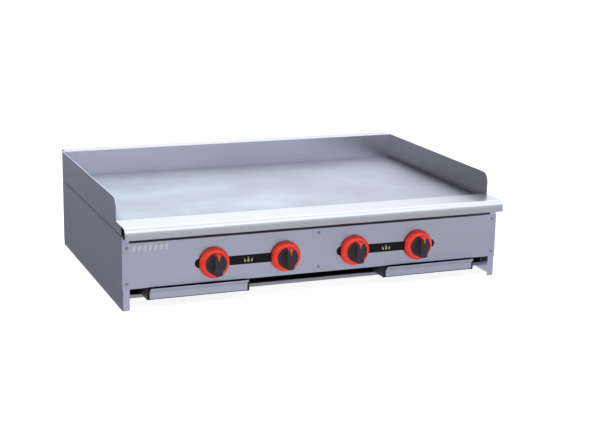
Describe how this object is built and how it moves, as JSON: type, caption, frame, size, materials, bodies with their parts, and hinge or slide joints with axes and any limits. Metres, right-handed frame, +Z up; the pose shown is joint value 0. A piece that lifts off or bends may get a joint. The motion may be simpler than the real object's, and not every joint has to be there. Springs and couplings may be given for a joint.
{
  "type": "flat top griddle",
  "caption": "Counter-top gas griddle: smooth steel plate in a splash guard, rolled front ledge, knobs on the front panel, grease drawers below.",
  "frame": {"origin": "middle of the whole object's box, on the surface that it stands on", "axes": "+X to the object's right seen from the front, +Y to the back, +Z up"},
  "size_m": [1.219, 0.896, 0.322],
  "materials": {
    "housing_steel": "brushed stainless steel sheet, grain left to right",
    "splash_steel": "brushed stainless steel sheet",
    "ledge_steel": "bright fine-brushed stainless steel",
    "plate_steel": "ground steel cooking plate, satin",
    "trough_steel": "stainless steel sheet",
    "drawer_steel": "brushed stainless steel",
    "tray_steel": "stainless steel sheet",
    "shelf_steel": "stainless steel sheet",
    "inner_steel": "galvanised steel sheet",
    "flue_steel": "aluminised steel sheet",
    "emblem_steel": "raised plain bars",
    "screw_steel": "plated screw",
    "label_black": "black label plate, satin",
    "dial_red": "orange-red moulded plastic",
    "grip_black": "black moulded plastic, satin",
    "stem_steel": "turned steel",
    "spring_steel": "spring wire",
    "shutter_steel": "zinc-plated sheet",
    "brass": "turned brass",
    "pipe_black": "black steel pipe",
    "burner_steel": "aluminised steel tube",
    "tube_aluminium": "drawn tube"
  },
  "bodies": {
    "housing": {"side_panel_left": "housing_steel", "side_panel_right": "housing_steel", "back_panel": "housing_steel", "bottom_pan": "shelf_steel", "front_rail": "inner_steel", "plate_supports": "inner_steel", "heat_baffle": "inner_steel", "burner_rail": "inner_steel", "control_panel": "housing_steel", "centre_bracket": "inner_steel", "panel_screws": "screw_steel", "rear_screws": "screw_steel", "label_strip_left": "label_black", "label_strip_right": "label_black", "panel_emblem": "emblem_steel", "front_ledge": "ledge_steel", "splash_left": "splash_steel", "splash_right": "splash_steel", "back_splash": "splash_steel", "griddle_plate": "plate_steel", "grease_trough": "trough_steel", "grease_chutes": "inner_steel", "drawer_runners": "inner_steel", "flue_box": "flue_steel", "manifold_pipe": "pipe_black", "pipe_elbow": "pipe_black", "supply_pipe": "pipe_black", "manifold_hangers": "inner_steel", "burners": "burner_steel", "orifice_hoods": "brass", "valve_bodies": "brass", "pilot_tubes": "tube_aluminium"},
    "grease_drawer_left": {"drawer_front_left": "drawer_steel", "drawer_tray_left": "tray_steel"},
    "grease_drawer_right": {"drawer_front_right": "drawer_steel", "drawer_tray_right": "tray_steel"},
    "valve_rotor_1": {"valve_plug_1": "brass", "stem_spring_1": "spring_steel"},
    "knob_1": {"valve_stem_1": "stem_steel", "knob_skirt_1": "dial_red", "knob_grip_1": "grip_black"},
    "air_shutter_body_1": {"air_shutter_1": "shutter_steel"},
    "valve_rotor_2": {"valve_plug_2": "brass", "stem_spring_2": "spring_steel"},
    "knob_2": {"valve_stem_2": "stem_steel", "knob_skirt_2": "dial_red", "knob_grip_2": "grip_black"},
    "air_shutter_body_2": {"air_shutter_2": "shutter_steel"},
    "valve_rotor_3": {"valve_plug_3": "brass", "stem_spring_3": "spring_steel"},
    "knob_3": {"valve_stem_3": "stem_steel", "knob_skirt_3": "dial_red", "knob_grip_3": "grip_black"},
    "air_shutter_body_3": {"air_shutter_3": "shutter_steel"},
    "valve_rotor_4": {"valve_plug_4": "brass", "stem_spring_4": "spring_steel"},
    "knob_4": {"valve_stem_4": "stem_steel", "knob_skirt_4": "dial_red", "knob_grip_4": "grip_black"},
    "air_shutter_body_4": {"air_shutter_4": "shutter_steel"}
  },
  "joints": [
    {"name": "grease_drawer_left_slide", "type": "slide", "parent": "housing", "child": "grease_drawer_left", "axis": [0, -1, 0], "range_m": [0, 0.3]},
    {"name": "grease_drawer_right_slide", "type": "slide", "parent": "housing", "child": "grease_drawer_right", "axis": [0, -1, 0], "range_m": [0, 0.3]},
    {"name": "knob_1_turn", "type": "hinge", "parent": "housing", "child": "valve_rotor_1", "pos_m": [-0.333, -0.378, 0.125], "axis": [0, -1, 0], "range_deg": [0, 180]},
    {"name": "knob_1_push", "type": "slide", "parent": "valve_rotor_1", "child": "knob_1", "axis": [0, 1, 0], "range_m": [0, 0.0035], "stiffness_N_per_m": 1000, "springref_m": -0.002, "deforming": ["stem_spring_1"]},
    {"name": "air_shutter_1_turn", "type": "hinge", "parent": "housing", "child": "air_shutter_body_1", "pos_m": [-0.333, -0.306, 0.125], "axis": [0, 1, 0], "range_deg": [0, 60]},
    {"name": "knob_2_turn", "type": "hinge", "parent": "housing", "child": "valve_rotor_2", "pos_m": [-0.108, -0.378, 0.125], "axis": [0, -1, 0], "range_deg": [0, 180]},
    {"name": "knob_2_push", "type": "slide", "parent": "valve_rotor_2", "child": "knob_2", "axis": [0, 1, 0], "range_m": [0, 0.0035], "stiffness_N_per_m": 1000, "springref_m": -0.002, "deforming": ["stem_spring_2"]},
    {"name": "air_shutter_2_turn", "type": "hinge", "parent": "housing", "child": "air_shutter_body_2", "pos_m": [-0.108, -0.306, 0.125], "axis": [0, 1, 0], "range_deg": [0, 60]},
    {"name": "knob_3_turn", "type": "hinge", "parent": "housing", "child": "valve_rotor_3", "pos_m": [0.118, -0.378, 0.125], "axis": [0, -1, 0], "range_deg": [0, 180]},
    {"name": "knob_3_push", "type": "slide", "parent": "valve_rotor_3", "child": "knob_3", "axis": [0, 1, 0], "range_m": [0, 0.0035], "stiffness_N_per_m": 1000, "springref_m": -0.002, "deforming": ["stem_spring_3"]},
    {"name": "air_shutter_3_turn", "type": "hinge", "parent": "housing", "child": "air_shutter_body_3", "pos_m": [0.118, -0.306, 0.125], "axis": [0, 1, 0], "range_deg": [0, 60]},
    {"name": "knob_4_turn", "type": "hinge", "parent": "housing", "child": "valve_rotor_4", "pos_m": [0.333, -0.378, 0.125], "axis": [0, -1, 0], "range_deg": [0, 180]},
    {"name": "knob_4_push", "type": "slide", "parent": "valve_rotor_4", "child": "knob_4", "axis": [0, 1, 0], "range_m": [0, 0.0035], "stiffness_N_per_m": 1000, "springref_m": -0.002, "deforming": ["stem_spring_4"]},
    {"name": "air_shutter_4_turn", "type": "hinge", "parent": "housing", "child": "air_shutter_body_4", "pos_m": [0.333, -0.306, 0.125], "axis": [0, 1, 0], "range_deg": [0, 60]}
  ]
}
